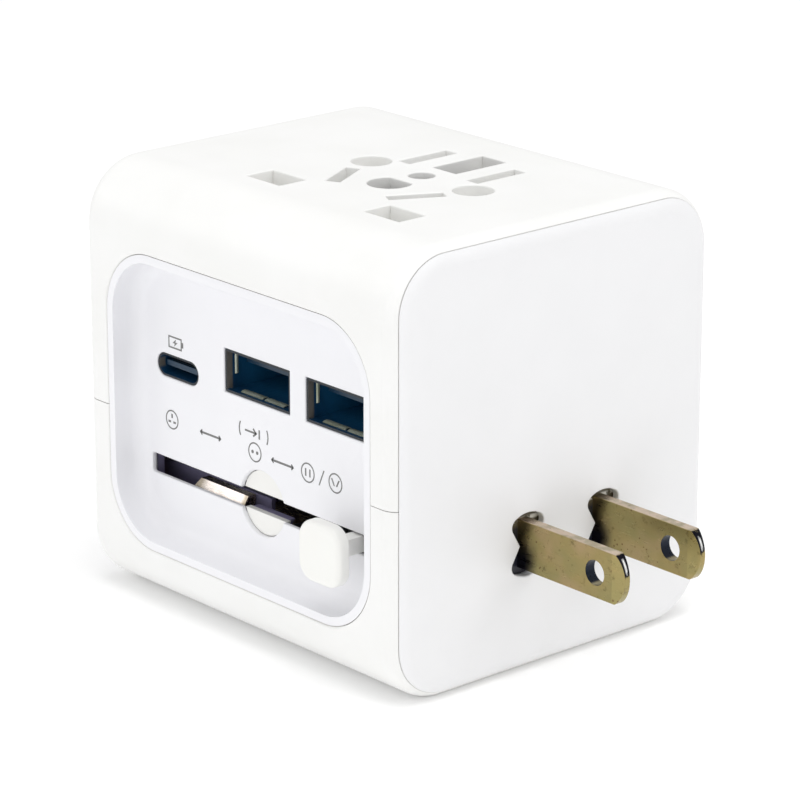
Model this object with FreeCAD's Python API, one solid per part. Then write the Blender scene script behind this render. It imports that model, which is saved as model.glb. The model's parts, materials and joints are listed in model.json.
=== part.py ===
import FreeCAD
import Part
import math
import os

# Universal travel adapter, millimetres.
# Origin: middle of the underside. +Z is up to the socket face, +X is out of the flat-blade plug
# face, -Y is out of the USB panel, +Y is out of the round-pin plug face.

V = FreeCAD.Vector
X = V(1, 0, 0)
Y = V(0, 1, 0)
Z = V(0, 0, 1)

# ---- case ----
HALF_X = 30.25
HALF_Y = 26.1
HEIGHT = 56.7
WALL = 2.0
EDGE_R = 8.0              # long edges, along X
END_R = 2.5               # edges round the two plug faces
IN_X = HALF_X - WALL
IN_Y = HALF_Y - WALL
PARTING_Z = 25.4          # where the upper and lower shells meet
GAP = 0.1                 # visible seam between two case pieces
CAP_X = 29.65             # where a plug plate meets the shells
CLEAR = 0.1               # play between a plate and the opening that it sits in
RIM_R = 0.2               # rounding round the mouths of holes and slots
PANEL_FIT = 0.05          # play between the front panel and its window
WINDOW_RIM_R = 0.3        # rounding round that window

# ---- USB panel, a tray set into the front ----
TRAY_X = 25.4
TRAY_Z = (7.8, 46.85)
TRAY_R = 8.7
TRAY_WALL = 1.1
TRAY_FLOOR_Y = -21.7      # front surface of the panel's floor
TRAY_BACK_Y = -20.5
SLOT_X = 22.2
SLOT_Z = 17.5
SLOT_H = 2.6
SLOT_EDGE = 0.55          # thickness that is left along the slot
ROUND_R = 4.3
ROUND_Z = 17.64
DISC_Y = -21.1            # face of the half discs in the round opening
RING_Y = (-20.3, -19.3)   # the sprung ring that they are fixed to
SPRING_STOP_Y = -16.9
USB_A_X = (-0.85, 14.85)
USB_A_Z = 33.45
USB_A_SIZE = (12.7, 5.7)
USB_A_DEPTH = 13.8
USB_A_TONGUE_Z = (34.1, 35.1)
USB_A_TONGUE_BACK = 2.8   # how far the tongue starts behind the mouth
USB_C_X = -16.65
USB_C_Z = 31.25
USB_C_SIZE = (8.4, 3.1)
USB_C_DEPTH = 7.4
PORT_Y = -21.5            # mouths of the metal port shells

# ---- shuttle: carries both slide-out plugs along X ----
TRAVEL = 18.0             # from either end of the travel to the middle
BLOCK_HALF = 8.5
BLOCK_Y = (-15.8, 13.8)
BLOCK_Z = (6.3, 21.0)
ARM_TOP = 36.6
PLAY = 0.3                # room between bodies that slide past each other
KNOB_X = 17.8
STEM = (2.0, 2.1)         # along X, along Z

# ---- flat blades (twist to the slanted position) ----
BLADE_Y = 1.6             # middle of the pair
BLADE_PITCH = 12.7
BLADE_Z = 16.6
BLADE_W = 6.35
BLADE_T = 1.5
BLADE_TIP = 47.4
BLADE_SHOULDER = 45.9
BLADE_CREASE = 45.5       # where the faces start to taper
BLADE_TIP_T = 0.8
BLADE_HOLE_X = 42.6
BLADE_HOLE_R = 1.6
BLADE_EDGE_R = 0.15
TWIST = 30.0
BOSS_R = 4.0
BOSS_FRONT = 29.1         # just behind the end plate's skin
COLLAR_R = 4.5
RUNNING = 0.06

# ---- rectangular-pin plug on the other end of the shuttle ----
UK_Y = -1.0
UK_Z = 10.0
UK_PITCH = 22.2
UK_LN = (6.35, 3.95)      # along Y, along Z
UK_E = (3.95, 7.9)

# ---- round-pin plug at the back ----
EU_PITCH = 19.0
EU_Z = 25.0
EU_R = 2.0
EU_SLEEVE = 0.5           # sleeve's wall
EU_TRAVEL = 17.9
EU_BAR_X = 12.6
EU_BAR_Y = (2.1, 5.8)
EU_BAR_Z = (22.4, 27.6)
EU_PLATE_X = 18.0
EU_PLATE_Z = (17.0, 33.0)

# ---- socket holes in the top ----
SOCKET_X = 4.2
SQUARE_HOLE = (6.5, 4.3)
SQUARE_HOLE_Y = -13.2
EARTH_HOLE = (4.5, 8.6)
EARTH_HOLE_Y = 9.0
ROUND_HOLE_R = 2.6
ROUND_HOLE_Y = 1.0
FLAT_HOLE = (2.2, 8.2)
FLAT_HOLE_Y = 7.7
SLANT_HOLE = (2.0, 7.2)
SLANT_HOLE_Y = -6.0
SLANT_PITCH = 13.7
SLANT_ANGLE = 28.0
U_HOLE_R = 2.8
U_HOLE_Y = -4.3

# ---- inside, from the bottom up ----
TRAY_FLOOR_Z = (2.2, 3.6)
TRAY_TOP = 24.0
TRAY_LIP_Z = 12.1
RAIL_Z = (8.0, 12.0)
DECK_Z = (21.5, 22.1)
BOARD_Z = (27.9, 29.5)
SOCKET_DECK_Z = (36.9, 38.1)
BUS_Z = (44.0, 44.8)
SHUTTER_Z = (53.0, 54.2)
SHUTTER_Y = (-16.0, 12.4)
SHUTTER_TRAVEL = 9.3
SHUTTER_LEFT = (-10.3, -1.0)
SHUTTER_RIGHT = (9.4, 18.7)
SCREW_X = 24.0
SCREW_Y = 20.5
POST_X = (-12.0, 20.0)
POST_Y = (-18.9, 15.7)
DETENT_X = (-17.1, -7.0)
DETENT_TOP_X = (-16.4, -6.9)
DETENT_TOP = 16.0
DETENT_LOW = 14.75        # foot of the sloping front lip
DETENT_LIP_Y = (-19.0, -18.3)
DETENT_T = 0.3
SCREEN_X = (-27.5, -4.0)  # wall behind the slot, under the stem's path
SCREEN_Z = (12.4, 16.1)
RISER_X = (25.9, 26.8)


# ---------------------------------------------------------------- helpers

def box(x, y, z):
    """A block from three (low, high) ranges."""
    return Part.makeBox(x[1] - x[0], y[1] - y[0], z[1] - z[0], V(x[0], y[0], z[0]))


def span(middle, size):
    """The range of a given size about a middle."""
    return (middle - size / 2, middle + size / 2)


def rod(start, axis, radius, length):
    return Part.makeCylinder(radius, length, start, axis)


def tube(start, axis, outer, inner, length):
    return rod(start, axis, outer, length).cut(rod(start, axis, inner, length))


def edges_along(shape, axis):
    """Straight edges parallel to an axis."""
    found = []
    for edge in shape.Edges:
        run = edge.Vertexes[-1].Point - edge.Vertexes[0].Point
        if run.Length > 1e-6 and abs(abs(run.normalize().dot(axis)) - 1) < 1e-6:
            found.append(edge)
    return found


def edges_on(shape, axis, place):
    """Edges that lie wholly in the plane at this place along an axis."""
    found = []
    for edge in shape.Edges:
        at = [edge.valueAt(edge.FirstParameter + share * edge.Length).dot(axis) for share in (0, 0.3)]
        ends = [vertex.Point.dot(axis) for vertex in edge.Vertexes]
        if all(abs(value - place) < 1e-4 for value in at + ends):
            found.append(edge)
    return found


def rounded(x, y, z, radius, axis):
    """A block whose edges along one axis are rounded."""
    block = box(x, y, z)
    return block.makeFillet(radius, edges_along(block, axis))


def fuse(shapes):
    joined = shapes[0].multiFuse(shapes[1:]) if len(shapes) > 1 else shapes[0]
    return joined.removeSplitter()


def cut(shape, tools):
    for tool in tools:
        shape = shape.cut(tool)
    return shape


def turned(shape, centre, axis, degrees):
    copy = shape.copy()
    copy.rotate(centre, axis, degrees)
    return copy


def coil(start, axis, radius, wire, length, turns):
    """A compression spring drawn as one swept helix."""
    pitch = (length - 2 * wire) / turns
    helix = Part.makeHelix(pitch, pitch * turns, radius)
    ring = Part.Wire([Part.makeCircle(wire, V(radius, 0, 0), Y)])
    spring = Part.Wire(helix.Edges).makePipeShell([ring], True, True)
    spring.translate(V(0, 0, wire))
    spring.Placement = FreeCAD.Placement(start, FreeCAD.Rotation(Z, axis)).multiply(spring.Placement)
    return spring


# ---------------------------------------------------------------- openings

def socket_holes(low, high, grow=0.0):
    """Every hole of the multi-standard socket, as solids between two heights."""
    z = (low, high)
    holes = []
    for side in (-1, 1):
        holes.append(box(span(SOCKET_X + side * UK_PITCH / 2, SQUARE_HOLE[0] + grow),
                         span(SQUARE_HOLE_Y, SQUARE_HOLE[1] + grow), z))
        holes.append(rod(V(SOCKET_X + side * EU_PITCH / 2, ROUND_HOLE_Y, low), Z,
                         ROUND_HOLE_R + grow / 2, high - low))
        holes.append(box(span(SOCKET_X + side * BLADE_PITCH / 2, FLAT_HOLE[0] + grow),
                         span(FLAT_HOLE_Y, FLAT_HOLE[1] + grow), z))
        middle = SOCKET_X + side * SLANT_PITCH / 2
        slant = box(span(middle, SLANT_HOLE[0] + grow), span(SLANT_HOLE_Y, SLANT_HOLE[1] + grow), z)
        holes.append(turned(slant, V(middle, SLANT_HOLE_Y, 0), Z, -side * SLANT_ANGLE))
    return holes + earth_holes(low, high, grow)


def earth_holes(low, high, grow=0.0):
    z = (low, high)
    holes = [box(span(SOCKET_X, EARTH_HOLE[0] + grow), span(EARTH_HOLE_Y, EARTH_HOLE[1] + grow), z)]
    holes.append(rod(V(SOCKET_X, ROUND_HOLE_Y, low), Z, 1.7 + grow / 2, high - low))
    u_round = rod(V(SOCKET_X, U_HOLE_Y, low), Z, U_HOLE_R + grow / 2, high - low)
    u_flat = box(span(SOCKET_X, 8), (U_HOLE_Y + 1.9, U_HOLE_Y + 6), z)
    holes.append(u_round.cut(u_flat))
    return holes


def blade_window(centre_y, x):
    """Opening in which a flat blade can twist: a round-ended slot at each limit, and what lies between."""
    centre = V(0, centre_y, BLADE_Z)
    wide = BLADE_T + 0.7
    reach = BLADE_W / 2 + 0.9
    slot = rounded(x, span(centre_y, wide), (BLADE_Z - reach, BLADE_Z + reach), wide / 2 - 0.01, X)
    pieces = [turned(slot, centre, X, angle) for angle in (-TWIST, TWIST)]
    spread = 5 * math.tan(math.radians(TWIST))
    wedge = Part.makePolygon([V(x[0], centre_y, BLADE_Z), V(x[0], centre_y - spread, BLADE_Z + 5),
                              V(x[0], centre_y + spread, BLADE_Z + 5), V(x[0], centre_y, BLADE_Z)])
    sector = Part.Face(wedge).extrude(V(x[1] - x[0], 0, 0))
    sector = sector.common(rod(V(x[0], centre_y, BLADE_Z), X, reach, x[1] - x[0]))
    return fuse(pieces + [sector, turned(sector, centre, X, 180)])


def blade_windows(x):
    """Both twist openings, with room behind the plate's skin for the bosses."""
    windows = []
    for side in (-1, 1):
        y = BLADE_Y + side * BLADE_PITCH / 2
        windows.append(blade_window(y, x))
        windows.append(rod(V(x[0], y, BLADE_Z), X, BOSS_R + 0.25, BOSS_FRONT + 0.2 - x[0]))
    return windows


def soften(shape, axis, place, inside, radius=RIM_R):
    """Round the edges that lie in one plane and within a (low, high) pair of corners."""
    rims = []
    for edge in edges_on(shape, axis, place):
        middle = edge.CenterOfMass
        if all(low < value < high for value, low, high in zip(middle, *inside)):
            rims.append(edge)
    return shape.makeFillet(radius, rims)


def uk_pin_places():
    """(y, z, size along Y, size along Z) of the three rectangular pins."""
    live = (UK_Y - UK_PITCH / 2, UK_Z, *UK_LN)
    neutral = (UK_Y + UK_PITCH / 2, UK_Z, *UK_LN)
    earth = (UK_Y, UK_Z + UK_PITCH, *UK_E)
    return live, neutral, earth


def uk_windows(x, grow):
    return [box(x, span(y, wide + grow), span(z, tall + grow)) for y, z, wide, tall in uk_pin_places()]


# ---------------------------------------------------------------- case

def case_envelope():
    body = rounded((-HALF_X, HALF_X), (-HALF_Y, HALF_Y), (0, HEIGHT), EDGE_R, X)
    ends = edges_on(body, X, HALF_X) + edges_on(body, X, -HALF_X)
    return body.makeFillet(END_R, ends)


def cavity(inset=0.0):
    """The hollow of the case, drawn in by an inset so that inner pieces clear its rounded corners."""
    y = IN_Y - inset
    z = (WALL + inset, HEIGHT - WALL - inset)
    return rounded((-40, 40), (-y, y), z, EDGE_R - WALL, X)


def panel_block(x_half, y, grow, radius):
    z = (TRAY_Z[0] - grow, TRAY_Z[1] + grow)
    return rounded((-x_half - grow, x_half + grow), y, z, radius, Y)


def panel_window():
    return panel_block(TRAY_X, (-40, -15), PANEL_FIT, TRAY_R + PANEL_FIT)


def shell_tube(envelope):
    """Both shells as one tube with the front and back windows, before it is split."""
    ring = CAP_X - GAP / 2
    body = envelope.common(box((-ring, ring), (-40, 40), (-1, 70))).cut(cavity())
    body = body.cut(panel_window())
    body = body.cut(rounded((-EU_PLATE_X, EU_PLATE_X), (15, 40), EU_PLATE_Z, 6, Y))
    rim = [edge for edge in edges_on(body, Y, -HALF_Y) if abs(edge.CenterOfMass.x) < TRAY_X + 0.5
           and TRAY_Z[0] - 0.5 < edge.CenterOfMass.z < TRAY_Z[1] + 0.5]
    return body.makeFillet(WINDOW_RIM_R, rim)


def upper_shell(shell):
    half = shell.common(box((-40, 40), (-40, 40), (PARTING_Z + GAP / 2, 70)))
    posts = [rod(V(x, y, SOCKET_DECK_Z[1]), Z, 1.3, HEIGHT - 1 - SOCKET_DECK_Z[1])
             for x in POST_X for y in POST_Y]
    bosses = [rod(V(side * SCREW_X, SCREW_Y, PARTING_Z + GAP / 2), Z, 2.8, 14) for side in (-1, 1)]
    ribs = [box(span(side * SCREW_X, 2.0), (SCREW_Y + 1.5, IN_Y + 0.5), (PARTING_Z + 2, PARTING_Z + 13))
            for side in (-1, 1)]
    half = fuse([half] + posts + bosses + ribs)
    rabbet = box((-40, 40), (-IN_Y - 1.0, IN_Y + 1.0), (10, PARTING_Z + 1.1))
    lip_room = rabbet.cut(box((-40, 40), (-IN_Y, IN_Y), (9, 40)))
    pilots = [rod(V(side * SCREW_X, SCREW_Y, 20), Z, 1.1, 14) for side in (-1, 1)]
    half = cut(half, [lip_room] + pilots + socket_holes(HEIGHT - 5, HEIGHT + 5))
    return soften(half, Z, HEIGHT, ((-20, -17, 0), (26, 17, 60)))


def lower_shell(shell):
    half = shell.common(box((-40, 40), (-40, 40), (-1, PARTING_Z - GAP / 2)))
    lips = []
    for side in (-1, 1):
        y = sorted((side * (IN_Y + 0.05), side * (IN_Y + 0.9)))
        lip = box((-IN_X - 1.0, IN_X + 1.0), y, (PARTING_Z - 1.5, PARTING_Z + 1.0))
        lips.append(lip.cut(panel_window()))
    bosses = [rod(V(side * SCREW_X, SCREW_Y, 1), Z, 2.8, PARTING_Z - GAP / 2 - 1) for side in (-1, 1)]
    half = fuse([half] + lips + bosses)
    half = half.cut(rounded((-EU_PLATE_X, EU_PLATE_X), (15, 40), EU_PLATE_Z, 6, Y))
    wells = [rod(V(side * SCREW_X, SCREW_Y, -1), Z, 2.4, 3.6) for side in (-1, 1)]
    wells += [rod(V(side * SCREW_X, SCREW_Y, -1), Z, 1.5, 40) for side in (-1, 1)]
    return cut(half, wells)


def plug_plate(envelope, side, windows):
    """End cap of the case: the outer skin, and a step that fits inside the shells."""
    skin_x = sorted((side * (CAP_X + GAP / 2), side * 40))
    step_x = sorted((side * IN_X, side * (CAP_X + GAP / 2)))
    skin = envelope.common(box(skin_x, (-40, 40), (-1, 70)))
    step = rounded(step_x, (-IN_Y + CLEAR, IN_Y - CLEAR), (WALL + CLEAR, HEIGHT - WALL - CLEAR), 5.9, X)
    plate = cut(fuse([skin, step]), windows)
    return soften(plate, X, side * HALF_X, ((-40, -17, 2.5), (40, 17, 38)))


def eu_plug_plate():
    plate = rounded((-EU_PLATE_X + CLEAR, EU_PLATE_X - CLEAR), (IN_Y + 0.1, HALF_Y - 0.1),
                    (EU_PLATE_Z[0] + CLEAR, EU_PLATE_Z[1] - CLEAR), 5.9, Y)
    plate = plate.makeFillet(0.4, edges_on(plate, Y, HALF_Y - 0.1))
    return cut(plate, [rod(V(side * EU_PITCH / 2, 15, EU_Z), Y, EU_R + 0.3, 20) for side in (-1, 1)])


def usb_a_blocks(y, grow):
    return [box(span(x, USB_A_SIZE[0] + grow), y, span(USB_A_Z, USB_A_SIZE[1] + grow)) for x in USB_A_X]


def usb_c_block(y, grow):
    wide, tall = USB_C_SIZE[0] + grow, USB_C_SIZE[1] + grow
    return rounded(span(USB_C_X, wide), y, span(USB_C_Z, tall), tall / 2 - 0.01, Y)


def port_panel():
    tray = panel_block(TRAY_X, (-HALF_Y + 0.15, TRAY_BACK_Y), 0, TRAY_R)
    pocket = rounded((-TRAY_X + TRAY_WALL, TRAY_X - TRAY_WALL), (-40, TRAY_FLOOR_Y),
                     (TRAY_Z[0] + TRAY_WALL, TRAY_Z[1] - TRAY_WALL), TRAY_R - TRAY_WALL, Y)
    pocket = pocket.makeFillet(2.2, edges_on(pocket, Y, TRAY_FLOOR_Y))
    tray = tray.cut(pocket)
    through = (-24, -18)
    slot = rounded((-SLOT_X, SLOT_X), through, span(SLOT_Z, SLOT_H), 0.4, Y)
    round_hole = rod(V(0, through[0], ROUND_Z), Y, ROUND_R, 6)
    behind = (TRAY_FLOOR_Y + SLOT_EDGE, through[1])
    relief = box((-SLOT_X - 0.6, SLOT_X + 0.6), behind, span(SLOT_Z, SLOT_H + 1.6))
    openings = [fuse([slot, round_hole]), relief, usb_c_block(through, 0)] + usb_a_blocks(through, 0)
    return soften(cut(tray, openings), Y, TRAY_FLOOR_Y, ((-23, -40, 12.5), (23, 0, 37)))


# ---------------------------------------------------------------- shuttle and its plugs

def blade_taper(y, side):
    """The wedge that is coined away from one face of a blade's tip."""
    past = BLADE_TIP + 1
    face = y + side * BLADE_T / 2
    depth = (BLADE_T - BLADE_TIP_T) / 2 * (past - BLADE_CREASE) / (BLADE_TIP - BLADE_CREASE)
    low = BLADE_Z - BLADE_W
    corners = [V(BLADE_CREASE, face, low), V(past, face, low), V(past, face - side * depth, low)]
    return Part.Face(Part.makePolygon(corners + corners[:1])).extrude(V(0, 0, 2 * BLADE_W))


def blade(side):
    """Flat blade with a round-nosed, coined tip and a hole, fixed in a round boss."""
    y = BLADE_Y + side * BLADE_PITCH / 2
    low, high = BLADE_Z - BLADE_W / 2, BLADE_Z + BLADE_W / 2
    back = TRAVEL - BLOCK_HALF + 4
    front = y - BLADE_T / 2
    corners = [V(BLADE_SHOULDER, front, low), V(back, front, low), V(back, front, high),
               V(BLADE_SHOULDER, front, high)]
    outline = [Part.LineSegment(corners[n], corners[n + 1]).toShape() for n in range(3)]
    outline.append(Part.Arc(corners[3], V(BLADE_TIP, front, BLADE_Z), corners[0]).toShape())
    body = Part.Face(Part.Wire(outline)).extrude(V(0, BLADE_T, 0))
    body = body.makeFillet(0.5, [edge for edge in edges_along(body, Y) if edge.CenterOfMass.x > back + 1])
    body = body.makeFillet(BLADE_EDGE_R, edges_along(body, X))
    hole = rod(V(BLADE_HOLE_X, y - 5, BLADE_Z), Y, BLADE_HOLE_R, 10)
    return cut(body, [hole, blade_taper(y, -1), blade_taper(y, 1)])


def boss(side, grow=0.0):
    """Round carrier that lets a blade twist; its collar keeps it in the shuttle."""
    y = BLADE_Y + side * BLADE_PITCH / 2
    back = TRAVEL - BLOCK_HALF + 1.5 - grow
    body = rod(V(back, y, BLADE_Z), X, BOSS_R + grow, BOSS_FRONT - back)
    collar = rod(V(TRAVEL - 2 - grow, y, BLADE_Z), X, COLLAR_R + grow, 2 + 2 * grow)
    return fuse([body, collar])


def knob_stem():
    return box(span(KNOB_X, STEM[0]), (-26.4, -13.4), span(SLOT_Z, STEM[1]))


def shuttle_block():
    x = (TRAVEL - BLOCK_HALF, TRAVEL + BLOCK_HALF)
    block = rounded(x, BLOCK_Y, BLOCK_Z, 1.2, X)
    arm = rounded(x, (UK_Y - 2.9, UK_Y + 2.4), (BLOCK_Z[1] - 3, ARM_TOP), 1.0, X)
    block = fuse([block, arm])
    pocket = box(span(KNOB_X, STEM[0] + 0.6), (-20, -9.6), span(SLOT_Z, STEM[1] + 0.6))
    bores = [boss(side, RUNNING) for side in (-1, 1)]
    return cut(block, [pocket] + bores + uk_windows((0, TRAVEL + 2), 0))


def shuttle_halves():
    whole = shuttle_block()
    base = whole.common(box((-40, 40), (-40, 40), (0, BLADE_Z)))
    cap = whole.common(box((-40, 40), (-40, 40), (BLADE_Z, 60)))
    return base, cap


def uk_pin(place, x_tip, x_root):
    y, z, wide, tall = place
    pin = box((x_tip, x_root), span(y, wide), span(z, tall))
    return pin.makeChamfer(0.7, edges_on(pin, X, x_tip))


def uk_pins_and_sleeves():
    """Three pins; the live and neutral ones are stepped in where their sleeves sit."""
    tip = -HALF_X + TRAVEL
    sleeve_x = (tip + 8.5, TRAVEL - BLOCK_HALF)
    pins, sleeves = [], []
    for place in uk_pin_places()[:2]:
        y, z, wide, tall = place
        outer = box(sleeve_x, span(y, wide), span(z, tall))
        inner = box((sleeve_x[0] - 1, sleeve_x[1] + 1), span(y, wide - 1.2), span(z, tall - 1.2))
        sleeves.append(outer.cut(inner))
        pins.append(uk_pin(place, tip, TRAVEL + 2).cut(outer.cut(inner)))
    earth = uk_pin(uk_pin_places()[2], tip, TRAVEL + 2)
    return pins[0], pins[1], earth, Part.makeCompound(sleeves)


def wipers():
    """Sprung sliding contacts on the two long sides of the shuttle."""
    solids = []
    for y in ((BLOCK_Y[0] - 0.8, BLOCK_Y[0]), (BLOCK_Y[1], BLOCK_Y[1] + 1.2)):
        bar = box(span(TRAVEL, 8), y, span(UK_Z, 2.4))
        solids.append(bar.makeFillet(0.35, edges_along(bar, Z)))
    return Part.makeCompound(solids)


def slider_knob():
    y = (-27.8, -25.8)
    knob = rounded(span(KNOB_X, 7.6), y, span(SLOT_Z - 0.1, 7.8), 2.4, Y)
    knob = knob.makeFillet(0.8, edges_on(knob, Y, y[0]))
    knob = knob.makeFillet(0.3, edges_on(knob, Y, y[1]))
    return knob.cut(knob_stem())


# ---------------------------------------------------------------- round-pin plug

def eu_pin(side):
    """Round pin, thinner where the insulating sleeve covers it, with a domed tip."""
    x = side * EU_PITCH / 2
    tip = HALF_Y - 0.3
    root = EU_BAR_Y[0] + 0.6
    pin = rod(V(x, root, EU_Z), Y, EU_R, tip - root)
    pin = pin.makeFillet(1.2, edges_on(pin, Y, tip))
    return pin.cut(eu_sleeve(side))


def eu_sleeve(side):
    start = V(side * EU_PITCH / 2, EU_BAR_Y[1], EU_Z)
    return tube(start, Y, EU_R + 0.02, EU_R - EU_SLEEVE, 9.5)


def eu_carriage():
    bar = rounded((-EU_BAR_X, EU_BAR_X), EU_BAR_Y, EU_BAR_Z, 1.0, Y)
    holes = []
    for side in (-1, 1):
        holes.append(rod(V(side * EU_PITCH / 2, EU_BAR_Y[0] + 0.6, EU_Z), Y, EU_R, 10))
    return cut(bar, holes)


def eu_guide():
    """Deck over the shuttle, with side rails for the carriage and legs down to the floor."""
    y = (EU_BAR_Y[0] - PLAY, EU_BAR_Y[1] + EU_TRAVEL - 0.1)
    pieces = [box((-16, 16), y, DECK_Z)]
    for side in (-1, 1):
        rail = box(sorted((side * (EU_BAR_X + PLAY), side * 15.4)), y, (DECK_Z[0], 28.2))
        leg = box(sorted((side * 12, side * 16)), (17.0, y[1]), (TRAY_FLOOR_Z[1], DECK_Z[1]))
        pieces += [rail, leg]
    return fuse(pieces).common(cavity(CLEAR))


def half_discs(y, radius):
    """What is left of a disc above and below the slot."""
    disc = rod(V(0, y[0], ROUND_Z), Y, radius, y[1] - y[0])
    return disc.cut(box((-5, 5), y, span(SLOT_Z, SLOT_H + 0.1)))


def release_frame():
    """Sprung ring behind the panel, with a pad behind each half of the release button."""
    ring = rounded((-25.0, 25.0), RING_Y, (12.9, 22.6), 1.5, Y)
    ring = ring.cut(box((-SLOT_X - 0.6, SLOT_X + 0.6), (-24, -15), (14.4, 19.2)))
    return fuse([ring, half_discs(RING_Y, ROUND_R - 0.5)])


def release_button():
    """Two half discs that fill the round opening, one above the slot and one below it."""
    return half_discs((DISC_Y, RING_Y[0]), ROUND_R - 0.1)


# ---------------------------------------------------------------- mechanism tray and contacts

def mechanism_tray():
    """Dark liner that guides the shuttle: floor, pierced end walls and a low front wall."""
    floor = box((-28.1, 28.1), (-19.0, 23.4), TRAY_FLOOR_Z)
    pieces = [floor, box((-28.1, 28.1), (-19.0, -17.65), (TRAY_FLOOR_Z[0], TRAY_LIP_Z))]
    for side in (-1, 1):
        x = sorted((side * 26.9, side * 28.1))
        pieces.append(box(x, (-19.0, 16.9), (TRAY_FLOOR_Z[0], TRAY_TOP)))
        pieces.append(box(span(side * 24.0, 2.2), (SPRING_STOP_Y, -16.3), (TRAY_FLOOR_Z[0], 20.0)))
    pieces.append(box(SCREEN_X, (SPRING_STOP_Y, -16.3), SCREEN_Z))
    for y in (-8.0, 4.0):
        pieces.append(box((-26.9, 26.9), span(y, 2.0), (TRAY_FLOOR_Z[0], BLOCK_Z[0] - PLAY)))
    tray = fuse(pieces)
    turns = [rod(V(26, BLADE_Y + side * BLADE_PITCH / 2, BLADE_Z), X, 4.2, 4) for side in (-1, 1)]
    screws = [rod(V(side * SCREW_X, SCREW_Y, 0), Z, 3.1, 10) for side in (-1, 1)]
    return cut(tray, turns + screws + uk_windows((-30, -26), 0.8)).common(cavity(CLEAR))


def bus_rail(y, side):
    """Fixed strip that a wiper rubs on, with a riser at one end up to the socket contact."""
    rail = box((-26.8, 26.8), y, RAIL_Z)
    riser_x = sorted((side * RISER_X[0], side * RISER_X[1]))
    riser = box(riser_x, y, (RAIL_Z[0], BUS_Z[1]))
    return fuse([rail, riser])


def live_rail():
    y = (-17.6, -17.0)
    top = box((-26.8, -11.0), (y[0], -16.4), BUS_Z)
    return fuse([bus_rail(y, -1), top])


def neutral_rail():
    y = (15.5, 16.1)
    top = box((19.4, 26.8), (12.4, 14.0), BUS_Z)
    link = box(RISER_X, (12.4, y[1]), BUS_Z)
    return fuse([bus_rail(y, 1), top, link])


def clip(x, y, gap_x, wide):
    """Pair of leaves that grip a pin between them."""
    leaves = []
    for side in (-1, 1):
        leaf_x = sorted((x + side * gap_x / 2, x + side * (gap_x / 2 + 0.5)))
        leaves.append(box(leaf_x, span(y, wide), (SOCKET_DECK_Z[1] + 0.2, BUS_Z[1])))
    return leaves


def pole_contact(side):
    """Flat strip under one side's holes, pierced for the pins, with a clip at each kind of hole."""
    middle = SOCKET_X + side * EU_PITCH / 2
    inner = SOCKET_X + side * 4.0
    outer = SOCKET_X + side * 15.2
    strip = box(sorted((inner, outer)), (SHUTTER_Y[0] - 0.4, SHUTTER_Y[1]), BUS_Z)
    strip = cut(strip, socket_holes(BUS_Z[0] - 1, BUS_Z[1] + 1, 0.4))
    leaves = clip(SOCKET_X + side * UK_PITCH / 2, SQUARE_HOLE_Y, SQUARE_HOLE[0] + 0.4, 3.0)
    leaves += clip(middle, ROUND_HOLE_Y, 2 * ROUND_HOLE_R + 0.4, 2.4)
    leaves += clip(SOCKET_X + side * BLADE_PITCH / 2, FLAT_HOLE_Y + 3, FLAT_HOLE[0] + 0.4, 2.0)
    return fuse([strip] + leaves)


def earth_contact():
    z = (BUS_Z[0] - 2.6, BUS_Z[0] - 1.8)
    strip = box(span(SOCKET_X, 6.6), (-8.2, 14.6), z)
    strip = cut(strip, earth_holes(z[0] - 1, z[1] + 1, 0.4))
    leaves = clip(SOCKET_X, EARTH_HOLE_Y, EARTH_HOLE[0] + 0.4, 4.0)
    pieces = [strip]
    for leaf in leaves:
        pieces.append(leaf.common(box((-40, 40), (-40, 40), (0, z[1]))))
    return fuse(pieces)


def socket_deck():
    """Insulating plate that carries the socket contacts, hung from the upper shell's posts."""
    deck = rounded((-14.5, 22.5), (-20.3, 17.2), SOCKET_DECK_Z, 1.0, Z)
    holes = [rod(V(SOCKET_X + side * EU_PITCH / 2, ROUND_HOLE_Y, 30), Z, 2.8, 20) for side in (-1, 1)]
    holes.append(box(span(SOCKET_X, 5.2), span(EARTH_HOLE_Y, 9.2), (30, 45)))
    return cut(deck, holes)


def shutter(x):
    return rounded(x, SHUTTER_Y, SHUTTER_Z, 0.8, Z)


def shutter_guides():
    """Two ledges under the ends of the shutters, joined to the top wall beside them."""
    x = (SHUTTER_LEFT[0] - SHUTTER_TRAVEL - 0.8, SHUTTER_RIGHT[1] + SHUTTER_TRAVEL + 0.1)
    solids = []
    for edge_y, side in ((SHUTTER_Y[0], -1), (SHUTTER_Y[1], 1)):
        web = box(x, sorted((edge_y + side * PLAY, edge_y + side * 1.5)), (51.8, HEIGHT - WALL))
        ledge = box(x, sorted((edge_y - side * 0.6, edge_y + side * 1.5)), (51.8, SHUTTER_Z[0] - PLAY))
        solids.append(fuse([web, ledge]))
    return Part.makeCompound(solids)


# ---------------------------------------------------------------- electronics

def usb_a_shells():
    shells = []
    for x in USB_A_X:
        y = (PORT_Y, PORT_Y + USB_A_DEPTH)
        outer = box(span(x, USB_A_SIZE[0] - 0.1), y, span(USB_A_Z, USB_A_SIZE[1] - 0.1))
        outer = outer.makeFillet(0.4, edges_along(outer, Y))
        inner = box(span(x, USB_A_SIZE[0] - 0.7), (y[0] - 1, y[1] - 0.3), span(USB_A_Z, USB_A_SIZE[1] - 0.7))
        shells.append(outer.cut(inner))
    return shells


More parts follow.
